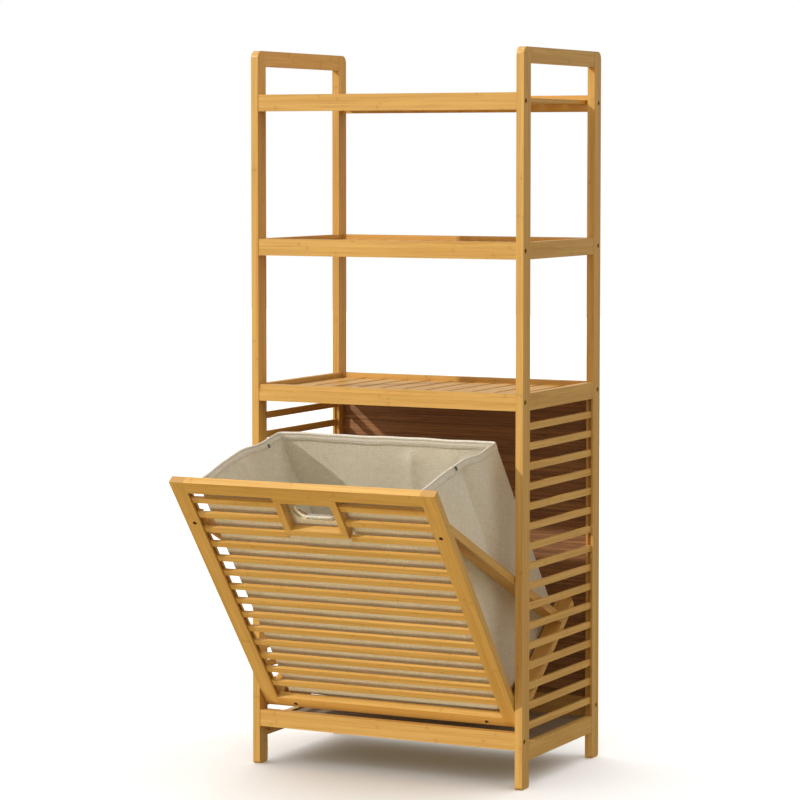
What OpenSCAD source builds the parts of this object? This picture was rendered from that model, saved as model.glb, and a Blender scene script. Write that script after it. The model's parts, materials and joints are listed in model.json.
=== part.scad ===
// Bamboo bathroom rack: two ladder side frames, three slatted shelves and a
// louvred lower cabinet whose front is a tilt-out hamper with a canvas bag.
// All sizes in millimetres. Z is up, X is the width, the front faces -Y.
// The hamper is drawn tilted open, resting on its stop blocks.

/* [Overall] */
// outside width of the rack
rack_w = 540; // [500:10:600]
// depth of the side frames, front post face to rear post face
rack_d = 344; // [335:1:370]
// total height
rack_h = 1300; // [1290:5:1400]

/* [Side frames] */
// post thickness across the width
post_t = 14; // [14:1:16]
// post depth front to rear
post_d = 30; // [30:1:32]
// radius of the rounded outer corner at the top of each post
corner_r = 14; // [6:1:18]
// radius of the eased corners under each foot
foot_r = 6; // [2:1:6]
// height of the top handle rails
handle_rail_h = 28; // [24:1:32]
// height of the side rungs
rung_h = 30; // [26:1:32]
// thickness of the side rungs
rung_t = 13; // [12:1:13]
// height of each louvre slat
slat_h = 12; // [10:1:14]
// thickness of each louvre slat
slat_t = 5.8; // [5:0.2:6]
// number of louvre slats in each side
side_slats = 16; // [12:1:16]

/* [Shelves] */
// top face height of the top shelf rails
top_shelf_z = 1221; // [1215:1:1225]
// top face height of the middle shelf rails
middle_shelf_z = 961; // [940:1:980]
// top face height of the lower shelf rails
lower_shelf_z = 697; // [697:1:700]
// height of the front and rear rails
rail_h = 30; // [28:1:30]
// thickness of the front and rear rails
rail_t = 18; // [16:1:18]
// number of boards in each shelf
shelf_boards = 11; // [8:1:11]
// width of each shelf board
board_w = 38; // [30:1:38]
// thickness of each shelf board
board_t = 7; // [6:1:8]
// how far the boards lie below the rail tops
board_drop = 9; // [6:1:10]

/* [Base] */
// top face height of the base front rail
base_front_z = 100; // [95:1:100]
// top face height of the base side rungs
base_rung_z = 79; // [75:1:80]
// top face height of the base rear rail
base_rear_z = 112; // [108:1:114]
// thickness of the base board
base_board_t = 8; // [6:1:10]

/* [Hamper] */
// opening angle of the hamper as drawn
tilt = 38; // [38:1:38]
// height of the hamper front panel
panel_h = 563; // [560:1:563]
// thickness of the hamper front panel
panel_t = 15; // [14:1:15]
// width of the hamper stiles
stile_w = 28; // [26:1:32]
// height of the hamper top rail
panel_top_h = 25; // [22:1:28]
// height of the hamper bottom rail
panel_bottom_h = 21; // [20:1:24]
// number of louvre slats in the hamper front
front_slats = 14; // [14:1:14]
// clear width of the hand opening in the hamper front
hand_w = 97; // [80:1:110]
// width of runners and braces
runner_w = 30; // [28:1:32]
// thickness of runners and braces
runner_t = 14; // [12:1:14]
// length of the runners behind the hamper front
runner_len = 292; // [288:0.5:300]
// height of the pivot above the bottom of the hamper front
pivot_up = 38; // [36:1:40]

/* [Bag] */
// outside width of the canvas bag
bag_w = 430; // [400:5:435]
// how far the bag reaches behind the hamper front centre line
bag_back = 288; // [260:1:288]
// height of the bag rim at the front
bag_front_h = 546; // [500:1:546]
// height of the bag rim at the rear
bag_rear_h = 412; // [380:1:420]
// thickness of the bag cloth
cloth_t = 2; // [1.6:0.1:2.4]

/* [Hidden] */
$fn = 28;
eps = 0.01;
hw = rack_w / 2;
in_x = hw - post_t;
slat_x = hw - post_t / 2;
groove_w = 6;
groove_d = 6;
groove_lo = base_rung_z;
groove_hi = lower_shelf_z - rail_h;
side_gap = (groove_hi - groove_lo - side_slats * slat_h) / (side_slats + 1);
front_y = 1;
rear_y = rack_d - 1;
bolt_front_y = front_y + rail_t / 2;
bolt_rear_y = rear_y - rail_t / 2;
levels = [top_shelf_z - rail_h / 2, middle_shelf_z - rail_h / 2,
          lower_shelf_z - rail_h / 2];
front_levels = concat(levels, [base_front_z - rail_h / 2]);
rear_levels = concat(levels, [base_rear_z - rail_h / 2]);
hinge_y = 1 + panel_t / 2;
hinge_z = lower_shelf_z - rail_h - 1 - panel_h + pivot_up;
panel_x = in_x - 1.5;
stile_in = panel_x - stile_w;
ht = panel_t / 2;
open_lo = panel_bottom_h;
open_hi = panel_h - panel_top_h;
hand_x = hand_w / 2;
hand_post_w = 12.5;
header_lo = 526;
sill_lo = 449.5;
sill_hi = 462;
slat_v0 = 516.5;
slat_pitch = 35.5;
brace_top = 487;
brace_n = 251;
run_x0 = panel_x - runner_w;
runner_r = 7;
screw_v = 465;
bearer_x = 192;
bag_n0 = 13;
hole_v = 495;
hole_w = 80;
hole_h = 40;
ring_depth = 10;
front_min = hinge_y - (panel_h - pivot_up) * sin(tilt) - ht * cos(tilt);
y_shift = -(rack_d + front_min) / 2;
stop_w = 12;
stop_hi = 10;
stop_lo = -14;

module in_rack() {
    translate([0, y_shift, 0])
        children();
}

module in_hamper() {
    translate([0, y_shift + hinge_y, hinge_z])
        rotate([tilt, 0, 0])
            translate([0, 0, -pivot_up])
                children();
}

module box(x0, x1, y0, y1, z0, z1) {
    translate([x0, y0, z0])
        cube([x1 - x0, y1 - y0, z1 - z0]);
}

module x_rod(x0, x1, y, z, d) {
    translate([x0, y, z])
        rotate([0, 90, 0])
            cylinder(d = d, h = x1 - x0);
}

module y_rod(x, y0, y1, z, d) {
    translate([x, y0, z])
        rotate([-90, 0, 0])
            cylinder(d = d, h = y1 - y0);
}

// side outline of a front post: one corner rounded at the top, feet eased
module post_outline() {
    difference() {
        square([post_d, rack_h]);
        translate([-eps, rack_h - corner_r])
            difference() {
                square([corner_r + eps, corner_r + eps]);
                translate([corner_r + eps, 0])
                    circle(r = corner_r, $fn = 64);
            }
        translate([-eps, -eps])
            difference() {
                square([foot_r + eps, foot_r + eps]);
                translate([foot_r + eps, foot_r + eps])
                    circle(r = foot_r, $fn = 32);
            }
        translate([post_d - foot_r, -eps])
            difference() {
                square([foot_r + eps, foot_r + eps]);
                translate([0, foot_r + eps])
                    circle(r = foot_r, $fn = 32);
            }
    }
}

// a front post on the right-hand side, inner face at x = in_x
module post_blank() {
    translate([in_x, 0, 0])
        rotate([90, 0, 90])
            linear_extrude(height = post_t)
                post_outline();
}

module bolt_hole(y, z) {
    x_rod(in_x - 1, hw + 1, y, z, 5.2);
    x_rod(hw - 5, hw + 1, y, z, 9);
}

module front_post() {
    difference() {
        post_blank();
        box(slat_x - groove_w / 2, slat_x + groove_w / 2, post_d - groove_d, post_d + 1,
            groove_lo, groove_hi);
        for (z = front_levels)
            bolt_hole(bolt_front_y, z);
        x_rod(in_x - 1, in_x + 9, hinge_y, hinge_z, 6.1);
    }
}

module rear_post() {
    difference() {
        translate([0, rack_d, 0])
            mirror([0, 1, 0])
                post_blank();
        box(slat_x - groove_w / 2, slat_x + groove_w / 2, rack_d - post_d - 1,
            rack_d - post_d + groove_d, groove_lo, groove_hi);
        for (z = rear_levels)
            bolt_hole(bolt_rear_y, z);
    }
}

module left_front_post() {
    color([0.82, 0.62, 0.36])
        in_rack()
            mirror([1, 0, 0])
                front_post();
}

module left_rear_post() {
    color([0.82, 0.62, 0.36])
        in_rack()
            mirror([1, 0, 0])
                rear_post();
}

module right_front_post() {
    color([0.82, 0.62, 0.36])
        in_rack()
            front_post();
}

module right_rear_post() {
    color([0.82, 0.62, 0.36])
        in_rack()
            rear_post();
}

// rung between the posts of the right-hand side frame
module rung(top, tall) {
    box(slat_x - rung_t / 2, slat_x + rung_t / 2, post_d, rack_d - post_d, top - tall, top);
}

module left_handle_rail() {
    color([0.8, 0.6, 0.34])
        in_rack()
            mirror([1, 0, 0])
                rung(rack_h, handle_rail_h);
}

module right_handle_rail() {
    color([0.8, 0.6, 0.34])
        in_rack()
            rung(rack_h, handle_rail_h);
}

module left_middle_rung() {
    color([0.8, 0.6, 0.34])
        in_rack()
            mirror([1, 0, 0])
                rung(middle_shelf_z, rung_h);
}

module right_middle_rung() {
    color([0.8, 0.6, 0.34])
        in_rack()
            rung(middle_shelf_z, rung_h);
}

module left_cabinet_rung() {
    color([0.8, 0.6, 0.34])
        in_rack()
            mirror([1, 0, 0])
                rung(lower_shelf_z, rail_h);
}

module right_cabinet_rung() {
    color([0.8, 0.6, 0.34])
        in_rack()
            rung(lower_shelf_z, rail_h);
}

module left_base_rung() {
    color([0.8, 0.6, 0.34])
        in_rack()
            mirror([1, 0, 0])
                rung(base_rung_z, rung_h);
}

module right_base_rung() {
    color([0.8, 0.6, 0.34])
        in_rack()
            rung(base_rung_z, rung_h);
}

module side_slat_set() {
    for (i = [0 : side_slats - 1])
        box(slat_x - slat_t / 2, slat_x + slat_t / 2,
            post_d - groove_d + 0.2, rack_d - post_d + groove_d - 0.2,
            groove_lo + side_gap + i * (side_gap + slat_h),
            groove_lo + side_gap + i * (side_gap + slat_h) + slat_h);
}

module left_side_slats() {
    color([0.84, 0.65, 0.4])
        in_rack()
            mirror([1, 0, 0])
                side_slat_set();
}

module right_side_slats() {
    color([0.84, 0.65, 0.4])
        in_rack()
            side_slat_set();
}

// rail between the two side frames; pocket is 1 for a shelf, side is 1 at the front
module cross_rail(side, top, pocket) {
    y0 = side > 0 ? front_y : rear_y - rail_t;
    by = side > 0 ? bolt_front_y : bolt_rear_y;
    gy = side > 0 ? front_y + rail_t - 5 : rear_y - rail_t - 1;
    difference() {
        box(-in_x, in_x, y0, y0 + rail_t, top - rail_h, top);
        if (pocket > 0)
            box(-in_x - 1, in_x + 1, gy, gy + 6, top - board_drop - board_t, top - board_drop);
        for (s = [-1, 1])
            x_rod(s > 0 ? in_x - 34 : -in_x - 1, s > 0 ? in_x + 1 : 34 - in_x, by,
                  top - rail_h / 2, 5.2);
    }
}

module shelf_board_set(top) {
    gap = (2 * in_x - shelf_boards * board_w) / (shelf_boards + 1);
    for (i = [0 : shelf_boards - 1])
        box(-in_x + gap + i * (gap + board_w), -in_x + gap + i * (gap + board_w) + board_w,
            front_y + rail_t - 4.8, rear_y - rail_t + 4.8,
            top - board_drop - board_t, top - board_drop);
}

module top_shelf_front_rail() {
    color([0.85, 0.66, 0.4])
        in_rack()
            cross_rail(1, top_shelf_z, 1);
}

module top_shelf_rear_rail() {
    color([0.85, 0.66, 0.4])
        in_rack()
            cross_rail(-1, top_shelf_z, 1);
}

module top_shelf_boards() {
    color([0.84, 0.66, 0.42])
        in_rack()
            shelf_board_set(top_shelf_z);
}

module middle_shelf_front_rail() {
    color([0.85, 0.66, 0.4])
        in_rack()
            cross_rail(1, middle_shelf_z, 1);
}

module middle_shelf_rear_rail() {
    color([0.85, 0.66, 0.4])
        in_rack()
            cross_rail(-1, middle_shelf_z, 1);
}

module middle_shelf_boards() {
    color([0.84, 0.66, 0.42])
        in_rack()
            shelf_board_set(middle_shelf_z);
}

// the lower shelf front rail has a shallow rebate along its top front edge
module lower_shelf_front_rail() {
    color([0.85, 0.66, 0.4])
        in_rack()
            difference() {
                cross_rail(1, lower_shelf_z, 1);
                box(-in_x - 1, in_x + 1, front_y - 1, front_y + 1.5,
                    lower_shelf_z - 8, lower_shelf_z + 1);
            }
}

module lower_shelf_rear_rail() {
    color([0.85, 0.66, 0.4])
        in_rack()
            cross_rail(-1, lower_shelf_z, 1);
}

module lower_shelf_boards() {
    color([0.84, 0.66, 0.42])
        in_rack()
            shelf_board_set(lower_shelf_z);
}

module base_front_rail() {
    color([0.85, 0.66, 0.4])
        in_rack()
            cross_rail(1, base_front_z, 0);
}

// reaches down to the base board
module base_rear_rail() {
    color([0.85, 0.66, 0.4])
        in_rack() {
            cross_rail(-1, base_rear_z, 0);
            box(-in_x, in_x, rear_y - rail_t, rear_y, base_rung_z - 3, base_rear_z - rail_h + 1);
        }
}

module base_board() {
    color([0.55, 0.45, 0.34])
        in_rack()
            box(-in_x, in_x, front_y + rail_t, rear_y,
                base_rung_z - 3 - base_board_t, base_rung_z - 3);
}

module base_cleats() {
    color([0.75, 0.56, 0.33])
        in_rack()
            for (s = [-1, 1])
                box(s > 0 ? in_x - 11.5 : -in_x - 0.5, s > 0 ? in_x + 0.5 : 11.5 - in_x,
                    post_d + 2, rack_d - post_d - 2,
                    base_rung_z - 15 - base_board_t, base_rung_z - 3 - base_board_t);
}

module back_panel() {
    color([0.45, 0.28, 0.17])
        in_rack()
            box(-in_x, in_x, rear_y - 12, rear_y - 6, base_rear_z, lower_shelf_z - rail_h);
}

module bolt(y, z) {
    x_rod(in_x - 32, hw - 4, y, z, 5);
    difference() {
        x_rod(hw - 5, hw - 2, y, z, 8.6);
        translate([hw - 4, y, z])
            rotate([0, 90, 0])
                cylinder(d = 4.6, h = 4, $fn = 6);
    }
}

module frame_bolts() {
    color([0.3, 0.24, 0.18])
        in_rack()
            for (s = [0, 1])
                mirror([s, 0, 0]) {
                    for (z = front_levels)
                        bolt(bolt_front_y, z);
                    for (z = rear_levels)
                        bolt(bolt_rear_y, z);
                }
}

// wedge behind each stile foot; its sloping face meets the stile when fully open
module stop_block() {
    y0 = hinge_y + (ht + 0.05) * cos(tilt) - stop_hi * sin(tilt);
    z0 = hinge_z + (ht + 0.05) * sin(tilt) + stop_hi * cos(tilt);
    y1 = hinge_y + (ht + 0.05) * cos(tilt) - stop_lo * sin(tilt);
    z1 = hinge_z + (ht + 0.05) * sin(tilt) + stop_lo * cos(tilt);
    intersection() {
        translate([in_x - stop_w, 0, 0])
            rotate([90, 0, 90])
                linear_extrude(height = stop_w)
                    polygon([[y0, z0], [y1, z1], [post_d, z1], [post_d, z0]]);
        box(in_x - stop_w, in_x, hinge_y + ht + 0.6, post_d, hinge_z - 60, hinge_z + 60);
    }
}

module stop_blocks() {
    color([0.78, 0.58, 0.34])
        in_rack()
            for (s = [0, 1])
                mirror([s, 0, 0])
                    stop_block();
}

// hamper front, right-hand stile; grooved on its inner edge for the slats
module stile() {
    difference() {
        box(stile_in, panel_x, -ht, ht, 0, panel_h);
        box(stile_in - 1, stile_in + 7, -3, 3, open_lo, open_hi);
        y_rod(hw - 32, -ht - 1, ht + 1, screw_v, 4.2);
        y_rod(hw - 32, -ht - 1, -ht + 4, screw_v, 8);
        x_rod(panel_x - 12, panel_x + 1, 0, pivot_up, 6.02);
    }
}

module hamper_left_stile() {
    color([0.82, 0.62, 0.35])
        in_hamper()
            mirror([1, 0, 0])
                stile();
}

module hamper_right_stile() {
    color([0.82, 0.62, 0.35])
        in_hamper()
            stile();
}

module hamper_top_rail() {
    color([0.83, 0.63, 0.36])
        in_hamper()
            box(-stile_in, stile_in, -ht, ht, open_hi, panel_h);
}

module hamper_bottom_rail() {
    color([0.83, 0.63, 0.36])
        in_hamper()
            difference() {
                box(-stile_in, stile_in, -ht, ht, 0, panel_bottom_h);
                for (s = [-1, 1]) {
                    y_rod(s * bearer_x, -ht - 1, ht + 1, runner_t / 2, 4.2);
                    y_rod(s * bearer_x, -ht - 1, -ht + 4, runner_t / 2, 8);
                }
            }
}

module hamper_slats() {
    tip = stile_in + 6.8;
    edge = hand_x + hand_post_w;
    color([0.84, 0.65, 0.39])
        in_hamper()
            for (i = [1 : front_slats]) {
                z0 = slat_v0 - (i - 1) * slat_pitch - slat_h / 2;
                if (i < 4) {
                    box(-tip, -edge, -slat_t / 2, slat_t / 2, z0, z0 + slat_h);
                    box(edge, tip, -slat_t / 2, slat_t / 2, z0, z0 + slat_h);
                } else {
                    box(-tip, tip, -slat_t / 2, slat_t / 2, z0, z0 + slat_h);
                }
            }
}

module hand_opening_posts() {
    color([0.82, 0.62, 0.35])
        in_hamper()
            for (s = [0, 1])
                mirror([s, 0, 0])
                    box(hand_x, hand_x + hand_post_w, -ht, ht, sill_hi, header_lo);
}

module hand_opening_header() {
    color([0.83, 0.63, 0.36])
        in_hamper()
            box(-hand_x - hand_post_w, hand_x + hand_post_w, -ht, ht, header_lo, open_hi);
}

module hand_opening_sill() {
    color([0.83, 0.63, 0.36])
        in_hamper()
            box(-hand_x - hand_post_w, hand_x + hand_post_w, -ht, ht,
                sill_lo, sill_hi);
}

// flat runner, square to the hamper front, with the corners of its rear end eased
module runner() {
    difference() {
        box(run_x0, panel_x, ht, ht + runner_len, 0, runner_t);
        for (x = [run_x0 + runner_r, panel_x - runner_r])
            translate([x, ht + runner_len - runner_r, -1])
                difference() {
                    box(x < run_x0 + runner_w / 2 ? -runner_r - 1 : 0,
                        x < run_x0 + runner_w / 2 ? 0 : runner_r + 1,
                        0, runner_r + 1, 0, runner_t + 2);
                    translate([0, 0, -1])
                        cylinder(r = runner_r, h = runner_t + 4, $fn = 32);
                }
    }
}

module left_runner() {
    color([0.8, 0.6, 0.35])
        in_hamper()
            mirror([1, 0, 0])
                runner();
}

module right_runner() {
    color([0.8, 0.6, 0.35])
        in_hamper()
            runner();
}

// flat brace from the back of the stile down to the top of the runner
module brace() {
    run = brace_n - ht;
    rise = brace_top - runner_t;
    len = sqrt(run * run + rise * rise);
    wy = runner_t * len / rise;
    wz = runner_t * len / run;
    difference() {
        translate([run_x0, 0, 0])
            rotate([90, 0, 90])
                linear_extrude(height = runner_w)
                    polygon([[ht, brace_top], [brace_n, runner_t],
                             [brace_n - wy, runner_t], [ht, brace_top - wz]]);
        y_rod(hw - 32, ht - 1, ht + 22, screw_v, 3.4);
    }
}

module left_brace() {
    color([0.8, 0.6, 0.35])
        in_hamper()
            mirror([1, 0, 0])
                brace();
}

module right_brace() {
    color([0.8, 0.6, 0.35])
        in_hamper()
            brace();
}

module bag_bearers() {
    color([0.8, 0.6, 0.35])
        in_hamper()
            difference() {
                for (s = [-1, 1])
                    box(s * bearer_x - runner_w / 2, s * bearer_x + runner_w / 2,
                        ht, bag_back - 4, 0, runner_t);
                for (s = [-1, 1])
                    y_rod(s * bearer_x, ht - 1, ht + 24, runner_t / 2, 3.4);
            }
}

module pivot_pins() {
    color([0.62, 0.6, 0.57])
        in_hamper()
            for (s = [0, 1])
                mirror([s, 0, 0])
                    x_rod(panel_x - 11.5, in_x + 8.5, 0, pivot_up, 6);
}

module panel_screw(x, z) {
    y_rod(x, -ht + 2, ht + 20, z, 3.2);
    difference() {
        y_rod(x, -ht + 1.2, -ht + 3.4, z, 7.6);
        box(x - 2.6, x + 2.6, -ht, -ht + 2.2, z - 0.6, z + 0.6);
        box(x - 0.6, x + 0.6, -ht, -ht + 2.2, z - 2.6, z + 2.6);
    }
}

module hamper_screws() {
    color([0.34, 0.27, 0.2])
        in_hamper()
            for (s = [-1, 1]) {
                panel_screw(s * (hw - 32), screw_v);
                panel_screw(s * bearer_x, runner_t / 2);
            }
}

function rim_at(n) = bag_front_h
    + (bag_rear_h - bag_front_h) * (n - bag_n0) / (bag_back - bag_n0);

module slot_shape(w, h) {
    square([w - h, h], center = true);
    for (s = [-1, 1])
        translate([s * (w - h) / 2, 0])
            circle(d = h, $fn = 40);
}

module bag_front_panel() {
    color([0.78, 0.72, 0.6])
        in_hamper()
            difference() {
                box(-bag_w / 2, bag_w / 2, bag_n0, bag_n0 + cloth_t, runner_t + 0.3, bag_front_h);
                translate([0, bag_n0 + cloth_t + 1, hole_v])
                    rotate([90, 0, 0])
                        linear_extrude(height = cloth_t + 2)
                            slot_shape(hole_w, hole_h);
            }
}

module bag_rear_panel() {
    color([0.78, 0.72, 0.6])
        in_hamper()
            box(-bag_w / 2, bag_w / 2, bag_back - cloth_t, bag_back, runner_t + 0.3, bag_rear_h);
}

module bag_side(x0) {
    translate([x0, 0, 0])
        rotate([90, 0, 90])
            linear_extrude(height = cloth_t)
                polygon([[bag_n0 + cloth_t, runner_t + 0.3],
                         [bag_back - cloth_t, runner_t + 0.3],
                         [bag_back - cloth_t, rim_at(bag_back - cloth_t)],
                         [bag_n0 + cloth_t, rim_at(bag_n0 + cloth_t)]]);
}

module bag_left_panel() {
    color([0.78, 0.72, 0.6])
        in_hamper()
            bag_side(-bag_w / 2);
}

module bag_right_panel() {
    color([0.78, 0.72, 0.6])
        in_hamper()
            bag_side(bag_w / 2 - cloth_t);
}

module bag_floor() {
    color([0.74, 0.68, 0.56])
        in_hamper()
            box(-bag_w / 2 + cloth_t, bag_w / 2 - cloth_t, bag_n0 + cloth_t,
                bag_back - cloth_t, runner_t + 0.3, runner_t + 0.3 + cloth_t);
}

// oblong eyelet round the hand hole: a flange on each side of the cloth and a lining
module bag_hand_ring() {
    color([0.86, 0.84, 0.78])
        in_hamper()
            translate([0, bag_n0 - 1.2, hole_v])
                rotate([-90, 0, 0])
                    difference() {
                        union() {
                            linear_extrude(height = 1.2)
                                slot_shape(hole_w + 10, hole_h + 10);
                            linear_extrude(height = ring_depth)
                                slot_shape(hole_w - 0.1, hole_h - 0.1);
                            translate([0, 0, cloth_t + 1.2])
                                linear_extrude(height = 1.2)
                                    slot_shape(hole_w + 10, hole_h + 10);
                        }
                        translate([0, 0, -1])
                            linear_extrude(height = ring_depth + 2)
                                slot_shape(hole_w - 3, hole_h - 3);
                    }
}

left_front_post();
left_rear_post();
right_front_post();
right_rear_post();
left_handle_rail();
right_handle_rail();
left_middle_rung();
right_middle_rung();
left_cabinet_rung();
right_cabinet_rung();
left_base_rung();
right_base_rung();
left_side_slats();
right_side_slats();
top_shelf_front_rail();
top_shelf_rear_rail();
top_shelf_boards();
middle_shelf_front_rail();
middle_shelf_rear_rail();
middle_shelf_boards();
lower_shelf_front_rail();
lower_shelf_rear_rail();
lower_shelf_boards();
base_front_rail();
base_rear_rail();
base_board();
base_cleats();
back_panel();
frame_bolts();
stop_blocks();
hamper_left_stile();
hamper_right_stile();
hamper_top_rail();
hamper_bottom_rail();
hamper_slats();
hand_opening_posts();
hand_opening_header();
hand_opening_sill();
left_runner();
right_runner();
left_brace();
right_brace();
bag_bearers();
pivot_pins();
hamper_screws();
bag_front_panel();
bag_rear_panel();
bag_left_panel();
bag_right_panel();
bag_floor();
bag_hand_ring();
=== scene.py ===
"""A bamboo bathroom rack with a tilt-out hamper: finishes for the CAD parts, the bag, light and camera.

Lengths are metres. The hamper's own axes are x across, n out of the back of its front panel, and v up the
panel, all measured from the hinge line, so a bag point is (x, n, v) and row() turns it into the row frame.
"""

import json
import math

import bpy
from mathutils import Matrix, Vector


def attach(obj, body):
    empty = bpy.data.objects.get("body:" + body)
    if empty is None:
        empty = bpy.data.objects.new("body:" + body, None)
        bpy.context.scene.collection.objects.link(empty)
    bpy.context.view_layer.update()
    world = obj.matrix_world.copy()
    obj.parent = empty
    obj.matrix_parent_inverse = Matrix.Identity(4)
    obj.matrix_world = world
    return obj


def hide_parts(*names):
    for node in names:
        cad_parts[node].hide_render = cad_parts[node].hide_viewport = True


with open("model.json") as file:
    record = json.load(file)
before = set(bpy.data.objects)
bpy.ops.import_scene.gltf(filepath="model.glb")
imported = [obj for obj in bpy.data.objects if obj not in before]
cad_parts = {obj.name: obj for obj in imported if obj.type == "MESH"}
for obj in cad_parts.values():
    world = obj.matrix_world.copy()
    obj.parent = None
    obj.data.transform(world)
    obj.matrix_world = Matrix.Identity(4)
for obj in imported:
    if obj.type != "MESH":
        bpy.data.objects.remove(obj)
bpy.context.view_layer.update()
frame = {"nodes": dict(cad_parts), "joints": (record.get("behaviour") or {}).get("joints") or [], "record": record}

MM = 0.001
HINGE = Vector(frame["joints"][0]["pos_m"])
TILT = -math.radians(frame["joints"][0]["range_deg"][0])
TO_ROW = Matrix.Rotation(TILT, 3, "X")
TO_HAMPER = TO_ROW.transposed()

# bamboo stock, in strips glued side by side, and how far apart the cane's joints are
STRIP_W = 20.5 * MM
STRIP_T = 7.2 * MM
CANE_JOINT_PITCH = 310 * MM

# the bag: its cloth, its corners and the spacing of its mesh
CLOTH_T = 1.8 * MM
CORNER_R = 5.5 * MM
GRID = 5.5 * MM
RIM_BELOW_CAD = 1.5 * MM
# the floor's first rings, in mm from its edge, and the number from there to its middle
FLOOR_INSETS = (0.0, 0.5, 1.4, 2.6, 4.0, 5.4, 6.6, 7.6, 10.0, 13.0, 17.0, 22.0, 28.0)
FLOOR_STEPS = 20
BEARER_W = 30 * MM
# threads per metre
WEAVE = 1 / (1.5 * MM)

# the rim's rise over the side panels, and the crease, as a share of the side panel's width from its front
RISE_RIGHT = 13 * MM
RISE_LEFT = 8.5 * MM
CREASE_AT = 0.53

# hem, seams and stitches; the rows' heights are down from the rim
HEM_H = 17 * MM
HEM_ROWS = (3.4 * MM, HEM_H - 2.4 * MM)
HEM_COLUMNS = 560
HEM_UV_STEP = 2.2 * MM
# (down from the rim, out on the outside, in on the inside) in mm, the hem's lower edge first
HEM_SECTION = ((17.0, 1.05, 1.15), (16.5, 1.35, 2.1), (14.6, 1.15, 1.4), (12.0, 1.45, 2.4), (8.5, 1.5, 2.5),
               (6.0, 1.45, 2.3), (3.4, 1.15, 1.4), (1.6, 1.6, 2.3), (0.2, 1.6, 2.0))
SEAM_TOP = HEM_H + 1 * MM
SEAM_ROWS = 60
# (to one side, out of the bag) in mm
SEAM_SECTION = ((0.0, 0.9), (0.75, 0.6), (1.0, -1.6), (0.7, -3.0), (0.0, -3.4), (-0.7, -3.0), (-1.0, -1.6),
                (-0.75, 0.6))
SEAM_UV_STEP = 1.2 * MM
STITCH_PITCH = 5 * MM
STITCH_LEN = 3.7 * MM
THREAD_R = 0.42 * MM
THREAD_SIDES = 6

# the ribbon tabs
TAB_HALF_W = 2.1 * MM
TAB_H = 8.5 * MM

# the eyelet: (out from its clear opening, back from its front) in mm, the lining's back edge first
RING_SECTION = ((0.0, 10.0), (0.0, 1.6), (0.2, 0.6), (0.8, 0.05), (1.5, 0.1), (2.0, 0.9), (2.5, 1.7),
                (3.5, 1.7), (4.1, 0.9), (4.7, 0.0), (5.3, -0.25), (6.0, 0.0), (6.5, 0.7), (6.2, 2.2),
                (1.6, 2.2), (1.5, 3.2), (6.0, 3.2), (6.4, 3.7), (6.0, 4.3), (1.4, 4.4), (1.3, 9.8),
                (0.7, 10.3))
# the section's faces in the groove, which get the dark metal: painted shade in the recess
RING_GROOVE = range(5, 8)
RING_W = 6.5 * MM
RING_OVER_CLOTH = 4 * MM
RING_TURN_STEPS = 24
# points this close to the front panel's plane can be part of the hand hole
NEAR_FRONT = 4 * MM

# the view: place in metres, turn and downward tilt in radians, lens in mm
CAMERA_AT = (2.400, -4.746, 1.116)
CAMERA_YAW = 0.46395
CAMERA_DOWN = 0.06637
CAMERA_LENS = 134.76
CAMERA_SHIFT_Y = -0.06

# the stage: lamp directions in degrees, azimuth left of the front and elevation above the floor
FLOOR_HALF = 14.0
SUN_AZIMUTH = 41.4
SUN_ELEVATION = 29.7
SUN_ANGLE = 1.4
FILL_AZIMUTH = 12.0
FILL_ELEVATION = -26.0
FILL_ANGLE = 34.0
FILL_COLOR = (1.0, 0.88, 0.62)
OVERHEAD_ELEVATION = 80.0
OVERHEAD_ANGLE = 140.0
# the surround: its colours below and straight up, and the Z of a direction where the first starts to give way
SURROUND_LOW = (0.25, 0.185, 0.08, 1.0)
SURROUND_HIGH = (1.14, 1.13, 1.11, 1.0)
HORIZON = -0.35


def row(x, n, v):
    """A point given in the hamper's own axes, in the row frame."""
    return HINGE + TO_ROW @ Vector((x, n, v))


def hamper_box(node):
    """A CAD node's lowest and highest corners in the hamper's own axes."""
    points = [TO_HAMPER @ (v.co - HINGE) for v in frame["nodes"][node].data.vertices]
    low = Vector(min(p[i] for p in points) for i in range(3))
    high = Vector(max(p[i] for p in points) for i in range(3))
    return low, high


# ---------------------------------------------------------------- shader helpers


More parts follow.
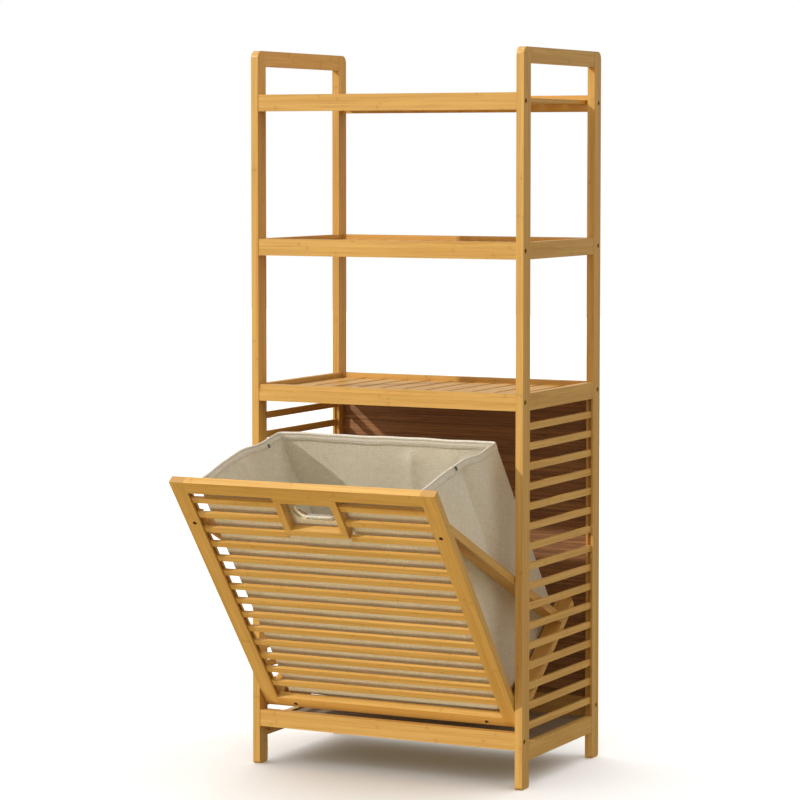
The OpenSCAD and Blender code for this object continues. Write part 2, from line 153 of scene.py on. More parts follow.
class Shader:
    """A new material's node tree, with short calls for the nodes used here."""

    def __init__(self, name):
        self.material = bpy.data.materials.new(name)
        self.material.use_nodes = True
        self.tree = self.material.node_tree
        self.tree.nodes.clear()

    def put(self, socket, value):
        """Links value to the socket if it is another node's output, or else sets it."""
        if isinstance(value, bpy.types.NodeSocket):
            self.tree.links.new(value, socket)
        else:
            socket.default_value = value

    def node(self, kind, values=(), **settings):
        """A new node. values go to its inputs, by name or number, and settings are its own properties."""
        made = self.tree.nodes.new("ShaderNode" + kind)
        for name, value in settings.items():
            setattr(made, name, value)
        for key, value in dict(values).items():
            self.put(made.inputs[key], value)
        return made

    def math(self, operation, a, b=0.0, c=0.0, clamp=False):
        made = self.node("Math", {0: a, 1: b, 2: c}, operation=operation, use_clamp=clamp)
        return made.outputs[0]

    def noise(self, vector, scale, detail=2.0, roughness=0.5):
        values = {"Vector": vector, "Scale": scale, "Detail": detail, "Roughness": roughness}
        return self.node("TexNoise", values).outputs["Fac"]

    def stretch(self, vector, factors):
        """vector times factors, so that a noise read at it has that many times more detail each way."""
        return self.node("Mapping", {"Vector": vector, "Scale": factors}).outputs["Vector"]

    def smooth(self, value, low, high, to_low=0.0, to_high=1.0):
        """to_low where value is below low, to_high where it is above high, and smooth between."""
        values = {0: value, 1: low, 2: high, 3: to_low, 4: to_high}
        return self.node("MapRange", values, interpolation_type="SMOOTHSTEP").outputs[0]

    def mix(self, factor, a, b):
        """Colour a where factor is 0 and b where it is 1."""
        return self.node("Mix", {0: factor, 6: a, 7: b}, data_type="RGBA").outputs[2]

    def shade(self, color, roughness, height=None, depth=0.0, strength=1.0, **constants):
        """The surface shader. constants are set on its sockets, spaces written as underscores."""
        surface = self.node("BsdfPrincipled", {"Base Color": color, "Roughness": roughness})
        for name, value in constants.items():
            surface.inputs[name.replace("_", " ")].default_value = value
        if height is not None:
            values = {"Height": height, "Distance": depth, "Strength": strength}
            self.put(surface.inputs["Normal"], self.node("Bump", values).outputs["Normal"])
        output = self.node("OutputMaterial")
        self.tree.links.new(surface.outputs[0], output.inputs["Surface"])
        return self.material


def rgb(r, g, b):
    """An opaque colour, as linear light."""
    return (r, g, b, 1.0)


# ---------------------------------------------------------------- wood


def grain_space(shader, turn, along):
    """(along, across, across) coordinates of a piece turned about X, and how much its face is end grain."""
    coordinates = shader.node("TexCoord")
    turned = []
    for source in ("Object", "Normal"):
        values = {"Vector": coordinates.outputs[source], "Angle": -turn}
        spun = shader.node("VectorRotate", values, rotation_type="X_AXIS").outputs["Vector"]
        parts = shader.node("SeparateXYZ", {"Vector": spun}).outputs
        first = "XYZ".index(along)
        turned.append([parts[(first + i) % 3] for i in range(3)])
    facing = shader.math("ABSOLUTE", turned[1][0])
    return turned[0], shader.smooth(facing, 0.8, 0.95)


def bamboo(name, turn, along, edge=False, tone=1.0):
    """Laminated bamboo: strips side by side, fine fibres, dark rings where the cane had its joints."""
    s = Shader(name)
    (u, a, b), end_grain = grain_space(s, turn, along)
    piece = s.math("ADD", s.node("NewGeometry").outputs["Random Per Island"],
                   s.node("ObjectInfo").outputs["Random"])
    strip = s.node("CombineXYZ", {
        0: s.math("FLOOR", s.math("DIVIDE", s.math("ADD", a, 3.1 * MM), STRIP_W)),
        1: s.math("FLOOR", s.math("DIVIDE", s.math("ADD", b, 1.7 * MM), STRIP_T)),
        2: s.math("MULTIPLY", piece, 37.0)}).outputs[0]
    chance = s.node("TexWhiteNoise", {"Vector": strip}, noise_dimensions="3D").outputs["Value"]
    shifted = s.math("ADD", u, s.math("MULTIPLY", piece, 5.0))
    place = s.node("CombineXYZ", {0: shifted, 1: a, 2: b}).outputs[0]

    fibre = s.noise(s.stretch(place, (7.0, 520.0, 520.0)), 1.0, 3.0, 0.62)
    streak = s.noise(s.stretch(place, (2.4, 110.0, 110.0)), 1.0, 2.0, 0.5)
    cloud = s.noise(s.stretch(place, (5.0, 16.0, 16.0)), 1.0, 1.0)
    joints_on = s.math("DIVIDE", u, CANE_JOINT_PITCH)
    ring_place = s.math("FRACT", s.math("ADD", joints_on, s.math("MULTIPLY", chance, 9.0)))
    ring_off = s.math("ABSOLUTE", s.math("SUBTRACT", ring_place, 0.5))
    ring = s.smooth(ring_off, 0.0, 0.013, 1.0, 0.0)
    halo = s.smooth(ring_off, 0.0, 0.06, 1.0, 0.0)
    pores = s.smooth(s.noise(s.stretch(place, (38.0, 1500.0, 1500.0)), 1.0, 1.0), 0.6, 0.78)

    pale = rgb(0.76 * tone, 0.470 * tone, 0.140 * tone)
    honey = rgb(0.60 * tone, 0.325 * tone, 0.070 * tone)
    brown = rgb(0.38 * tone, 0.19 * tone, 0.045 * tone)
    amount = s.math("MULTIPLY_ADD", chance, 0.34, s.smooth(streak, 0.30, 0.70, 0.0, 0.55))
    amount = s.math("MULTIPLY_ADD", cloud, 0.30, amount)
    amount = s.math("SUBTRACT", amount, 0.16, clamp=True)
    color = s.mix(amount, pale, honey)
    color = s.mix(s.smooth(fibre, 0.46, 0.70, 0.0, 0.40), color, brown)
    color = s.mix(s.math("MULTIPLY", pores, 0.28), color, brown)
    color = s.mix(s.math("MULTIPLY", ring, 0.34), color, brown)
    color = s.mix(s.math("MULTIPLY", halo, 0.16), color, honey)
    dots = s.smooth(s.noise(s.stretch(place, (60.0, 900.0, 900.0)), 1.0, 1.0), 0.45, 0.6)
    cut = s.mix(s.math("MULTIPLY", dots, 0.6), rgb(0.52 * tone, 0.30 * tone, 0.10 * tone), brown)
    color = s.mix(s.math("MULTIPLY", end_grain, 0.75), color, cut)
    rough = s.smooth(fibre, 0.2, 0.8, 0.34, 0.5)
    if edge:
        # on the eased edges: lighter patches, partly wear and partly painted highlight where the edges catch the
        # key
        edge_wear_and_highlight = s.smooth(s.noise(place, 26.0, 3.0), 0.40, 0.62, 0.28, 0.70)
        color = s.mix(edge_wear_and_highlight, color, rgb(1.0, 0.78, 0.44))
        rough = s.smooth(fibre, 0.2, 0.8, 0.26, 0.38)
    return s.shade(color, rough, fibre, 0.00012, 0.55, Coat_Weight=0.12, Coat_Roughness=0.25,
                   Specular_IOR_Level=0.35)


def walnut(name):
    """The thin stained back panel, with its figure lying across."""
    s = Shader(name)
    place = s.node("TexCoord").outputs["Object"]
    bend = s.noise(s.stretch(place, (1.6, 1.0, 5.0)), 1.0, 2.0)
    parts = s.node("SeparateXYZ", {"Vector": place}).outputs
    swayed = s.math("ADD", s.math("MULTIPLY", parts[2], 95.0), s.math("MULTIPLY", bend, 9.0))
    figure = s.math("MULTIPLY_ADD", s.math("SINE", swayed), 0.5, 0.5)
    streak = s.noise(s.stretch(place, (3.0, 60.0, 320.0)), 1.0, 4.0, 0.65)
    pores = s.smooth(s.noise(s.stretch(place, (45.0, 300.0, 1500.0)), 1.0, 1.0), 0.56, 0.7)
    color = s.mix(s.smooth(streak, 0.3, 0.72), rgb(0.500, 0.250, 0.095), rgb(0.190, 0.083, 0.029))
    color = s.mix(s.math("MULTIPLY", figure, 0.40), color, rgb(0.260, 0.112, 0.041))
    color = s.mix(s.math("MULTIPLY", pores, 0.55), color, rgb(0.055, 0.022, 0.011))
    rough = s.smooth(streak, 0.2, 0.8, 0.40, 0.58)
    height = s.math("SUBTRACT", streak, pores)
    return s.shade(color, rough, height, 0.00015, 0.6, Coat_Weight=0.1, Coat_Roughness=0.35)


def fibreboard(name):
    """The grey-brown base board: matte, faintly flecked."""
    s = Shader(name)
    place = s.node("TexCoord").outputs["Object"]
    fleck = s.noise(s.stretch(place, (260.0, 420.0, 420.0)), 1.0, 3.0, 0.7)
    streak = s.noise(s.stretch(place, (4.0, 90.0, 90.0)), 1.0, 3.0)
    color = s.mix(s.smooth(streak, 0.3, 0.7), rgb(0.42, 0.33, 0.22), rgb(0.31, 0.235, 0.15))
    color = s.mix(s.smooth(fleck, 0.5, 0.72, 0.0, 0.5), color, rgb(0.12, 0.085, 0.055))
    return s.shade(color, 0.72, fleck, 0.0001, 0.5)


# ---------------------------------------------------------------- metal and cloth


def metal(name, color, dark, roughness, metallic, wear):
    """Painted or plated steel: mottled, rubbed brighter in patches, with fine scratches."""
    s = Shader(name)
    place = s.node("TexCoord").outputs["Object"]
    patch = s.noise(place, 160.0, 3.0, 0.6)
    scratch = s.noise(s.stretch(place, (2500.0, 300.0, 300.0)), 1.0, 2.0)
    tint = s.mix(s.smooth(patch, 0.42, 0.66, 0.0, wear), color, dark)
    rough = s.smooth(scratch, 0.3, 0.8, roughness, roughness + 0.16)
    return s.shade(tint, rough, scratch, 0.00003, 0.5, Metallic=metallic)


def canvas(name, pale, shade, threads=WEAVE, depth=0.0006):
    """Plain-woven natural canvas: over-and-under threads with painted shade between them, thick and thin places,
    faint broad blotches.
    """
    s = Shader(name)
    place = s.node("UVMap", uv_map="cloth").outputs["UV"]
    across, up, _ = s.node("SeparateXYZ", {"Vector": place}).outputs
    drift = s.noise(place, 60.0, 2.0)
    warp = s.math("ADD", s.math("MULTIPLY", across, threads), s.math("MULTIPLY", drift, 0.5))
    weft = s.math("ADD", s.math("MULTIPLY", up, threads), s.math("MULTIPLY", drift, 0.5))
    square = s.math("ADD", s.math("FLOOR", warp), s.math("FLOOR", weft))
    over = s.math("MODULO", s.math("ABSOLUTE", square), 2.0)
    warp_round = s.math("ABSOLUTE", s.math("SINE", s.math("MULTIPLY", warp, math.pi)))
    weft_round = s.math("ABSOLUTE", s.math("SINE", s.math("MULTIPLY", weft, math.pi)))
    flat = s.math("SUBTRACT", 1.0, over)
    thread = s.math("ADD", s.math("MULTIPLY", warp_round, over), s.math("MULTIPLY", weft_round, flat))
    slub_up = s.noise(s.stretch(place, (700.0, 60.0, 1.0)), 1.0, 2.0, 0.6)
    slub_across = s.noise(s.stretch(place, (60.0, 700.0, 1.0)), 1.0, 2.0, 0.6)
    slub = s.math("MULTIPLY", s.math("ADD", slub_up, slub_across), 0.5)
    speck = s.noise(place, 300.0, 3.0, 0.75)
    broad_blotch = s.noise(place, 9.0, 2.0)
    color = s.mix(s.smooth(slub, 0.40, 0.60), shade, pale)
    color = s.mix(s.smooth(speck, 0.30, 0.48, 0.70, 0.0), color, shade)
    # painted shade between the threads: darker brown where they dip
    color = s.mix(s.smooth(thread, 0.0, 0.5, 0.30, 0.0), color, rgb(0.42, 0.35, 0.25))
    # broad blotches, darker in places
    color = s.mix(s.smooth(broad_blotch, 0.5, 0.8, 0.0, 0.22), color, shade)
    height = s.math("ADD", s.math("MULTIPLY", thread, 0.75), s.math("MULTIPLY", slub, 0.8))
    rough = s.smooth(slub, 0.3, 0.7, 0.86, 0.95)
    return s.shade(color, rough, height, depth, 0.7, Sheen_Weight=0.18, Sheen_Roughness=0.6,
                   Specular_IOR_Level=0.2)


def thread(name, color):
    """Twisted sewing thread."""
    s = Shader(name)
    place = s.node("TexCoord").outputs["Object"]
    values = {"Vector": place, "Scale": 900.0, "Distortion": 2.0}
    twist = s.node("TexWave", values, bands_direction="DIAGONAL").outputs["Fac"]
    tint = s.mix(s.math("MULTIPLY", twist, 0.25), color, rgb(0.45, 0.38, 0.28))
    return s.shade(tint, 0.8, twist, 0.0001, 0.6, Sheen_Weight=0.2)


# ---------------------------------------------------------------- finishes on the CAD parts

brace_low, brace_high = hamper_box("left_brace")
BRACE_TURN = TILT + math.atan2(brace_high.y - brace_low.y, brace_high.z - brace_low.z)

# grain direction of each bamboo node, by the end of its name, the first match counting
CABINET_GRAIN = (("_post", "Z"), ("_handle_rail", "Y"), ("_rung", "Y"), ("_slats", "Y"), ("_boards", "Y"),
                 ("_cleats", "Y"), ("_blocks", "Z"), ("_rail", "X"))
HAMPER_GRAIN = (("_stile", "Z"), ("_posts", "Z"), ("_runner", "Y"), ("_bearers", "Y"), ("_brace", "Z"),
                ("_slats", "X"), ("_header", "X"), ("_sill", "X"), ("_rail", "X"))
SMALL = ("_slats", "_boards", "_blocks", "_cleats")


def dress(node, faces, edges=None, width=0.0, segments=2):
    """Gives a CAD node its material, and eased edges with a material of their own."""
    piece = frame["nodes"][node]
    piece.data.materials.clear()
    piece.data.materials.append(faces)
    if edges:
        piece.data.materials.append(edges)
    if width:
        eased = piece.modifiers.new("eased edges", "BEVEL")
        eased.width = width
        eased.segments = segments
        eased.limit_method = "ANGLE"
        eased.angle_limit = math.radians(50)
        eased.use_clamp_overlap = True
        eased.material = 1 if edges else 0


def dress_bamboo():
    """One pair of bamboo materials, faces and edges lightened partly as wear and partly as painted highlight, for
    each grain direction, turn and tone.
    """
    made = {}
    record = frame["record"]
    slots = {s["node"]: s["material_slot"] for s in record["subparts"]}
    for body, grain in (("cabinet", CABINET_GRAIN), ("hamper", HAMPER_GRAIN)):
        for node in record["behaviour"]["bodies"][body]:
            if not slots[node].startswith("bamboo"):
                continue
            along = next(a for ending, a in grain if node.endswith(ending))
            turn = 0.0
            if body == "hamper":
                turn = BRACE_TURN if node.endswith("_brace") else TILT
            tone = 1.05 if slots[node] == "bamboo_strips" else 1.0
            key = (round(turn, 4), along, tone)
            if key not in made:
                name = f"bamboo_{len(made)}"
                made[key] = (bamboo(name, turn, along, tone=tone),
                             bamboo(name + "_edge", turn, along, edge=True, tone=tone))
            small = node.endswith(SMALL)
            dress(node, *made[key], width=(0.7 if small else 1.3) * MM)


def dress_other_nodes():
    """The back panel, the base board and the metal parts."""
    dress("back_panel", walnut("walnut_panel"), width=0.5 * MM)
    dress("base_board", fibreboard("base_fibreboard"), width=0.5 * MM)
    bronze = metal("bronzed_steel", rgb(0.16, 0.10, 0.055), rgb(0.05, 0.032, 0.02), 0.38, 0.8, 0.8)
    zinc = metal("zinc_plate", rgb(0.62, 0.60, 0.55), rgb(0.38, 0.36, 0.33), 0.3, 1.0, 0.5)
    for node in ("frame_bolts", "hamper_screws"):
        dress(node, bronze, width=0.25 * MM)
    dress("pivot_pins", zinc, width=0.3 * MM)


# ---------------------------------------------------------------- mesh helpers


def new_piece(name, verts, faces, material, uvs=None, smooth=True):
    """A mesh object of row-frame points. uvs holds one (u, v) per face corner, in metres."""
    mesh = bpy.data.meshes.new(name)
    mesh.from_pydata([tuple(v) for v in verts], [], faces)
    if uvs:
        layer = mesh.uv_layers.new(name="cloth")
        for corner, uv in zip(layer.data, uvs):
            corner.uv = uv
    mesh.polygons.foreach_set("use_smooth", [smooth] * len(mesh.polygons))
    mesh.materials.append(material)
    mesh.validate()
    piece = bpy.data.objects.new(name, mesh)
    bpy.context.scene.collection.objects.link(piece)
    return piece


# ---------------------------------------------------------------- the bag's shape


class Bag:
    """The bag's middle surface: s runs round the wall from the left front corner, h down from the rim."""

    def __init__(self):
        front_low, front_high = hamper_box("bag_front_panel")
        _, rear_high = hamper_box("bag_rear_panel")
        half = CLOTH_T / 2
        self.half_w = front_high.x - half
        self.front = front_low.y + (front_high.y - front_low.y) / 2
        self.rear = rear_high.y - half
        self.bottom = front_low.z + half
        self.rim_front = front_high.z - RIM_BELOW_CAD
        self.rim_rear = rear_high.z - RIM_BELOW_CAD
        self.middle = (self.front + self.rear) / 2
        self.width = 2 * (self.half_w - CORNER_R)
        self.depth = self.rear - self.front - 2 * CORNER_R
        self.arc = CORNER_R * math.pi / 2
        self.round = 2 * (self.width + self.depth) + 4 * self.arc
        ring_low, ring_high = hamper_box("bag_hand_ring")
        self.hole = (ring_low + ring_high) / 2
        self.ring_half_w = (ring_high.x - ring_low.x) / 2
        self.ring_half_h = (ring_high.z - ring_low.z) / 2
        self.ring_front = ring_low.y
        self.hole_half_w = self.ring_half_w - RING_OVER_CLOTH
        self.hole_half_h = self.ring_half_h - RING_OVER_CLOTH
        _, bearer_high = hamper_box("bag_bearers")
        self.bearer_out = bearer_high.x
        self.bearer_in = bearer_high.x - BEARER_W
        self.steps = self.around()

    def around(self):
        """The places round the wall at which the mesh has a column."""
        places, at = [], 0.0
        for length, count in self.stretches():
            places += [at + length * i / count for i in range(count)]
            at += length
        return places

    def stretches(self):
        """Length and number of columns of each straight and each corner, in order round the wall."""
        wide, deep = round(self.width / GRID), round(self.depth / GRID)
        for length, count in ((self.width, wide), (self.arc, 4), (self.depth, deep), (self.arc, 4)) * 2:
            yield length, count

    def plan(self, s):
        """(x, n) and the outward direction, s along the wall, before any sagging."""
        s %= self.round
        w, d, r = self.width / 2, self.depth / 2, CORNER_R
        turn = 0.0
        for half, other in ((w, d), (d, w), (w, d), (d, w)):
            if s < 2 * half:
                flat, out, facing = s - half, other + r, turn
                break
            s -= 2 * half
            if s < self.arc:
                bend = s / r
                flat, out, facing = half + r * math.sin(bend), other + r * math.cos(bend), turn + bend
                break
            s -= self.arc
            turn += math.pi / 2
        x, n = self.place(flat, out, turn)
        return x, n, math.sin(facing), -math.cos(facing)

    def place(self, flat, out, angle):
        """A point out from the bag's middle and flat along, as seen on the wall that faces angle."""
        x = flat * math.cos(angle) + out * math.sin(angle)
        n = flat * math.sin(angle) - out * math.cos(angle)
        return x, self.middle + n

    def rim(self, s):
        """Height of the rim at s: a straight slope, lifted where the side panels have their fold."""
        x, n, _, _ = self.plan(s)
        share = self.share(n)
        straight = self.rim_front + (self.rim_rear - self.rim_front) * share
        rise = RISE_RIGHT if x > 0 else RISE_LEFT
        fold = rise * min(1.0, 0.33 + 1.6 * share) * (1 - eased(share, 0.52, 0.82))
        fold *= min(1.0, abs(x) / self.half_w) ** 8
        ripple = 0.7 * MM * math.sin(s * 31.0) + 0.5 * MM * math.sin(s * 77.0 + 1.0)
        return straight + fold + ripple

    def share(self, n):
        """0 at the bag's front, 1 at its rear."""
        return (n - self.front) / (self.rear - self.front)

    def push(self, s, h):
        """How far the wall stands out of its flat panel. Near a corner the two panels' shapes fade out."""
        x, n, out_x, out_n = self.plan(s)
        share = self.share(n)
        across = x / self.half_w
        down = min(max(h / (self.rim(s) - self.bottom), 0.0), 1.0)
        below_hole = h - (self.rim(s) - self.hole.z)
        sides = abs(out_x) ** 6 * self.side_push(share, down)
        rears = max(out_n, 0.0) ** 6 * self.rear_push(across, down)
        fronts = max(-out_n, 0.0) ** 6 * self.front_push(across, down, x, below_hole)
        return sides + rears + fronts

    @staticmethod
    def side_push(share, down):
        """A fold at the rim, a crease that runs down from it, waves beside it, and a slight belly."""
        middle = math.sin(math.pi * min(max(share, 0.0), 1.0)) ** 0.5
        off = share - CREASE_AT + 0.04 * down
        fold = 2.6 * MM * max(0.0, 1 - abs(off) / 0.5) * (1 - down) ** 1.3
        crease = -6.5 * MM * math.exp(-abs(off) / 0.040) * (1 - 0.6 * down) * eased(down, 0.02, 0.07)
        wave = 2.6 * MM * math.cos(2 * math.pi * (off - 0.15) / 0.30) * (1 - 0.5 * down)
        wave *= eased(down, 0.0, 0.2) * (0.35 + 0.65 * eased(share, 0.2, 0.45))
        belly = 2.2 * MM * math.sin(math.pi * down)
        flare = 2.4 * MM * min(max(share, 0.0), 1.0) * (1 - down) ** 2
        return fold + (crease + wave + belly) * middle + flare

    @staticmethod
    def rear_push(across, down):
        """The rear panel sags inwards, in soft pleats, with two tucks below the hem."""
        middle = max(0.0, 1 - across ** 2)
        belly = math.sin(math.pi * down)
        hang = -8.5 * MM * middle * belly ** 0.8
        pleats = 3.2 * MM * math.sin(7.0 * across + 3.2 * down) * belly * middle
        spread = 0.05 + 0.12 * down
        tucks = math.exp(-abs(across + 0.5 * down - 0.24) / spread)
        tucks += 0.8 * math.exp(-abs(across - 0.25 * down - 0.52) / spread)
        return hang + pleats - 8 * MM * tucks * eased(down, 0.03, 0.13) * (1 - down) ** 2

    @staticmethod
    def front_push(across, down, x, below_hole):
        """The front panel bulges a little, and is flat round the eyelet."""
        near_hole = math.exp(-((x / 0.09) ** 2) - (below_hole / 0.06) ** 2)
        belly = math.sin(math.pi * down)
        bulge = 2.2 * MM * max(0.0, 1 - across ** 2) * belly
        waves = 0.8 * MM * math.sin(11 * across + 5 * down) * belly
        return (bulge + waves) * (1 - min(1.0, 1.6 * near_hole))

    def wall(self, s, h, out=0.0):
        """A point of the wall in the hamper's axes, out from its middle surface."""
        x, n, out_x, out_n = self.plan(s)
        stand = self.push(s, h) + out
        return Vector((x + out_x * stand, n + out_n * stand, self.rim(s) - h))

    def floor_height(self, x, n):
        """The floor rests on the bearers, hangs between and beside them, and turns up at its edges."""
        share = min(max(self.share(n), 0.0), 1.0)
        far = abs(x)
        if far < self.bearer_in:
            sunk = 8 * MM * (1 - (far / self.bearer_in) ** 2) * (0.6 + 0.4 * math.sin(math.pi * share))
        else:
            over = min(max((far - self.bearer_out - 0.8 * MM) / (3 * MM), 0.0), 1.0)
            sunk = 15 * MM * over ** 2 * eased(share, 0.12, 0.6)
        side_r = (14 - 10 * eased(share, 0.05, 0.35)) * MM
        height = self.bottom - sunk + quarter(side_r, self.half_w - far)
        return height + quarter(2.5 * MM, n - self.front) + quarter(26 * MM, self.rear - n)


def eased(value, low, high):
    """0 below low, 1 above high, smooth between."""
    t = min(max((value - low) / (high - low), 0.0), 1.0)
    return t * t * (3 - 2 * t)


def quarter(radius, inset):
    """Rise of a quarter circle, from radius at its edge to 0 at radius in from there."""
    """How far a rounded edge of this radius has risen, inset from its wall."""
    left = max(0.0, radius - inset)
    return radius - math.sqrt(max(0.0, radius * radius - left * left))


def bag_grid(bag):
    """Rings of points down the wall, round the bottom edge and in over the floor, and each one's distance
    from the rim along the cloth.
    """
    wall_rows = round((bag.rim_front - bag.bottom) / (GRID * 1.15))
    rings, marks = [], []
    for i in range(wall_rows + 1):
        drops = []
        for s in bag.steps:
            x, n, _, _ = bag.plan(s)
            drops.append((bag.rim(s) - bag.floor_height(x, n)) * (i / wall_rows))
        rings.append([bag.wall(s, h) for s, h in zip(bag.steps, drops)])
        marks.append(drops)
    base = marks[-1]
    travelled = 0.0
    half_depth = (bag.rear - bag.front) / 2
    for before, inset in zip(FLOOR_INSETS, FLOOR_INSETS[1:]):
        travelled += (inset - before) * MM * 1.2
        ring = []
        for s in bag.steps:
            x, n, _, _ = bag.plan(s)
            x -= inset * MM * x / bag.half_w
            n -= inset * MM * (n - bag.middle) / half_depth
            ring.append(Vector((x, n, bag.floor_height(x, n))))
        rings.append(ring)
        marks.append([h + travelled for h in base])
    edge = rings[-1]
    for i in range(1, FLOOR_STEPS):
        keep = 1 - i / FLOOR_STEPS
        ring = []
        for p in edge:
            x, n = p.x * keep, bag.middle + (p.y - bag.middle) * keep
            ring.append(Vector((x, n, bag.floor_height(x, n))))
        rings.append(ring)
        marks.append([h + travelled + 0.2 * (1 - keep) for h in base])
    return rings, marks


def oblong_side(bag, x, v):
    """Below 1 inside the hand hole's outline, above 1 outside it."""
    straight = bag.hole_half_w - bag.hole_half_h
    dx = max(0.0, abs(x - bag.hole.x) - straight)
    return math.hypot(dx, v - bag.hole.z) / bag.hole_half_h


def make_bag(bag, material):
    """The shell: walls and floor in one mesh of the cloth's thickness, with the hand hole in its front."""
    rings, marks = bag_grid(bag)
    count = len(bag.steps)
    points = [p for ring in rings for p in ring]
    straight = bag.hole_half_w - bag.hole_half_h
    for i, p in enumerate(points):
        side = oblong_side(bag, p.x, p.z)
        if abs(p.y - bag.front) <= NEAR_FRONT and 0.80 < side < 1.16:
            core = Vector((max(-straight, min(straight, p.x)), p.y, bag.hole.z))
            points[i] = core + (p - core) / side
    faces, uvs = [], []
    places = [*bag.steps, bag.round]
    for r in range(len(rings) - 1):
        for c in range(count):
            d = (c + 1) % count
            corners = [r * count + c, (r + 1) * count + c, (r + 1) * count + d, r * count + d]
            mid = sum((points[i] for i in corners), Vector()) / 4
            if abs(mid.y - bag.front) < NEAR_FRONT and oblong_side(bag, mid.x, mid.z) < 0.97:
                continue
            faces.append(corners)
            uvs += [(places[c], -marks[r][c]), (places[c], -marks[r + 1][c]),
                    (places[c + 1], -marks[r + 1][d]), (places[c + 1], -marks[r][d])]
    last = (len(rings) - 1) * count
    faces.append([last + c for c in reversed(range(count))])
    uvs += [(points[last + c].x, points[last + c].y) for c in reversed(range(count))]
    used = sorted({i for f in faces for i in f})
    number = {old: new for new, old in enumerate(used)}
    faces = [[number[i] for i in f] for f in faces]
    piece = new_piece("bag_shell", [row(*points[i]) for i in used], faces, material, uvs)
    thick = piece.modifiers.new("cloth thickness", "SOLIDIFY")
    thick.thickness = CLOTH_T
    thick.offset = 0.0
    return piece


def make_hem(bag, material):
    """The rim folded over on itself, drawn in a little along each row of stitches."""
    section = [(h * MM, out * MM) for h, out, _ in HEM_SECTION]
    section += [(-0.9 * MM, 0.9 * MM), (-1.2 * MM, 0.0), (-0.9 * MM, -0.9 * MM)]
    section += [(h * MM, -back * MM) for h, _, back in reversed(HEM_SECTION)]
    verts, faces, uvs = [], [], []
    places = [i * bag.round / HEM_COLUMNS for i in range(HEM_COLUMNS)]
    n = len(section)
    for s in places:
        pucker = 0.16 * MM * math.sin(2 * math.pi * s / STITCH_PITCH / 2)
        for h, out in section:
            swell = pucker if abs(out) > 1.4 * MM else 0.0
            verts.append(row(*bag.wall(s, h, out + math.copysign(swell, out))))
    for c in range(len(places)):
        d = (c + 1) % len(places)
        s0, s1 = places[c], places[c] + bag.round / len(places)
        for k in range(n):
            m = (k + 1) % n
            faces.append([c * n + k, d * n + k, d * n + m, c * n + m])
            h0, h1 = -k * HEM_UV_STEP, -(k + 1) * HEM_UV_STEP
            uvs += [(s0, h0), (s1, h0), (s1, h1), (s0, h1)]
    return new_piece("bag_hem", verts, faces, material, uvs)


def add_stitch(verts, faces, start, end, out):
    """One short thread with tapered ends, bowed off the cloth."""
    along = (end - start).normalized()
    across = along.cross(out).normalized()
    first = len(verts)
    # (place along the stitch, thickness, height off the cloth), the last two in thread radii
    shape = ((0.0, 0.35, -0.3), (0.18, 0.9, 0.25), (0.5, 1.0, 0.5), (0.82, 0.9, 0.25), (1.0, 0.35, -0.3))
    for t, thick, lift in shape:
        centre = start.lerp(end, t) + out * THREAD_R * lift
        for k in range(THREAD_SIDES):
            angle = 2 * math.pi * k / THREAD_SIDES
            verts.append(centre + (across * math.cos(angle) + out * math.sin(angle)) * THREAD_R * thick)
    last = first + (len(shape) - 1) * THREAD_SIDES
    for at in range(first, last, THREAD_SIDES):
        for k in range(THREAD_SIDES):
            a, b = at + k, at + (k + 1) % THREAD_SIDES
            faces.append([a, b, b + THREAD_SIDES, a + THREAD_SIDES])
    faces.append([first + k for k in range(THREAD_SIDES)])
    faces.append([last + k for k in reversed(range(THREAD_SIDES))])


def make_stitching(bag, material):
    """Two rows along the hem inside and out, and a row on each side of every corner seam."""
    verts, faces = [], []

    # point gives a place on the row, and the way out of the cloth there, for a distance along it
    def sew(point, length):
        count = int(length / STITCH_PITCH)
        for i in range(count):
            a, b = i * length / count, i * length / count + STITCH_LEN
            p, q = point(a), point(b)
            add_stitch(verts, faces, row(*p[0]), row(*q[0]), TO_ROW @ p[1])

    def hem_row(h, sign, half):
        def point(s):
            _, _, out_x, out_n = bag.plan(s)
            return bag.wall(s, h, sign * half), Vector((out_x, out_n, 0.0)) * sign
        return point

    for h in HEM_ROWS:
        for sign, half in ((1, 1.25 * MM), (-1, 1.5 * MM)):
            sew(hem_row(h, sign, half), bag.round)

    def seam_row(s):
        def point(t):
            _, _, out_x, out_n = bag.plan(s)
            return bag.wall(s, SEAM_TOP + t, CLOTH_T / 2), Vector((out_x, out_n, 0.0))
        return point

    for corner in corner_places(bag):
        for aside in (-1, 1):
            s = corner + aside * (bag.arc / 2 + 5 * MM)
            sew(seam_row(s), bag.rim(s) - bag.bottom - SEAM_TOP - 16 * MM)
    return new_piece("bag_stitching", verts, faces, material)


def corner_places(bag):
    """s at the middle of each corner."""
    places, at = [], 0.0
    for k in range(4):
        at += (bag.width, bag.depth)[k % 2]
        places.append(at + bag.arc / 2)
        at += bag.arc
    return places


